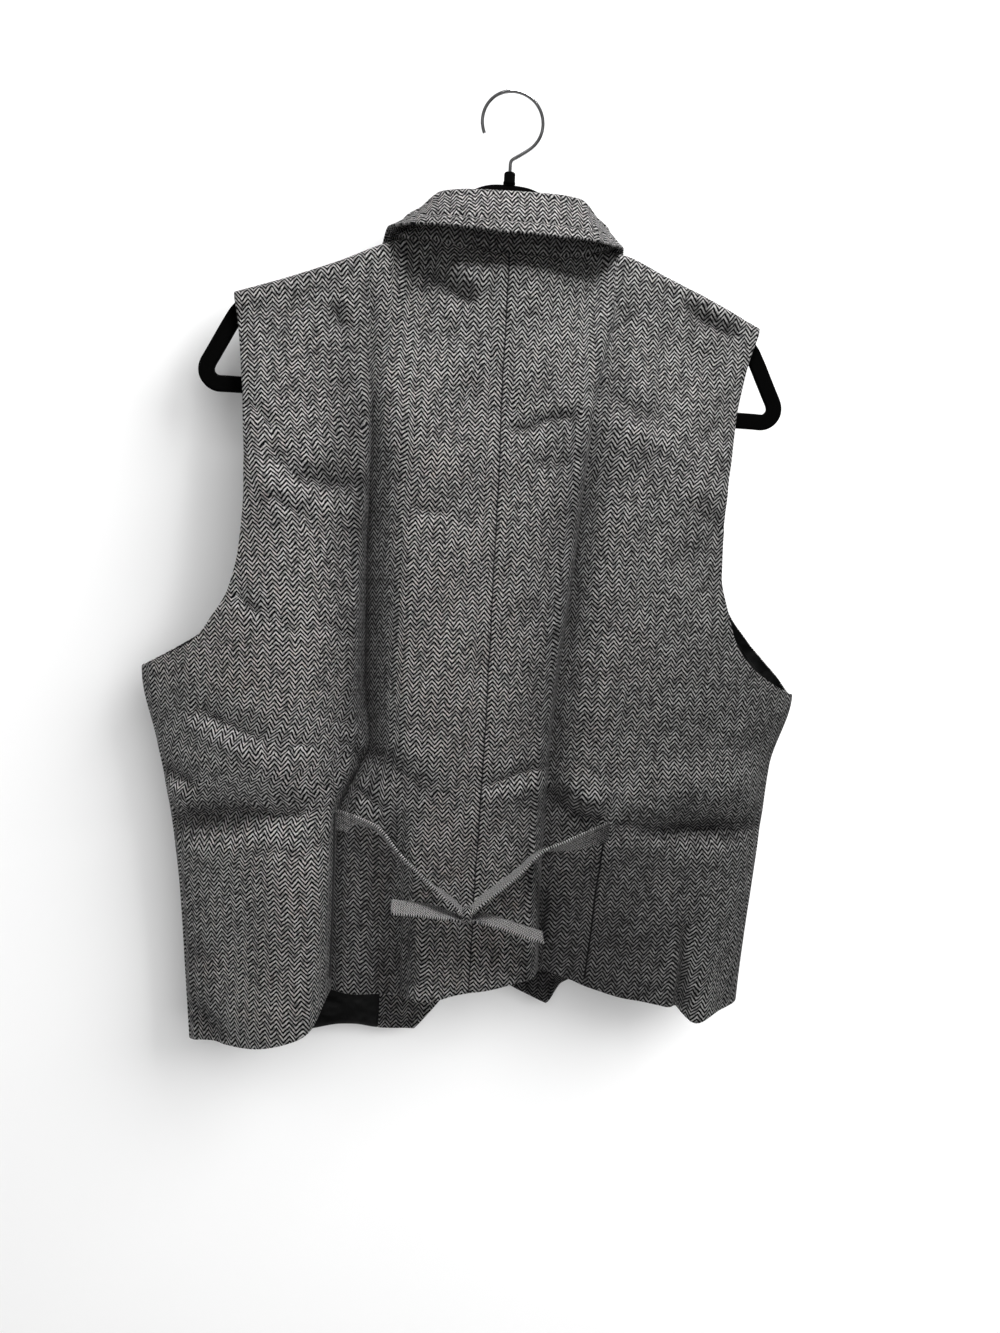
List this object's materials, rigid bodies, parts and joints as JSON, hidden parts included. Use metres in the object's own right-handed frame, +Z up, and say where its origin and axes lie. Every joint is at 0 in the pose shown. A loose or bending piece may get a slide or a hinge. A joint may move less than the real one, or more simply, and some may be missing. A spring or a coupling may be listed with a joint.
{
  "type": "herringbone vest on a clothes hanger",
  "caption": "Sleeveless tailored vest in grey herringbone cloth with a turned-down collar and a waist tie at the back, hanging on a slim black flocked hanger.",
  "frame": {"origin": "inside of the hook's crown, where a rail holds the hanger", "axes": "+Z up along the hanging vest's length, -Y the way its back faces, +X towards the wearer's right"},
  "size_m": [0.497, 0.1088, 0.7293],
  "materials": {
    "herringbone_cloth": "matt woven herringbone, black and off-white",
    "black_lining": "satin",
    "button_plastic": "matt",
    "hanger_velvet": "flocked",
    "hook_steel": "bright"
  },
  "bodies": {
    "root": {"back_left": "herringbone_cloth", "back_right": "herringbone_cloth", "front_left": "herringbone_cloth", "front_right": "herringbone_cloth", "front_facing_left": "herringbone_cloth", "front_facing_right": "herringbone_cloth", "collar": "herringbone_cloth", "lapel_left": "herringbone_cloth", "lapel_right": "herringbone_cloth", "tie_left": "herringbone_cloth", "tie_right": "herringbone_cloth", "tie_knot": "herringbone_cloth", "tie_end_left": "herringbone_cloth", "tie_end_right": "herringbone_cloth", "front_lining_left": "black_lining", "front_lining_right": "black_lining", "button_1": "button_plastic", "button_2": "button_plastic", "button_3": "button_plastic", "button_4": "button_plastic", "hanger_body": "hanger_velvet", "hanger_neck": "hanger_velvet", "hanger_hook": "hook_steel"}
  },
  "joints": []
}
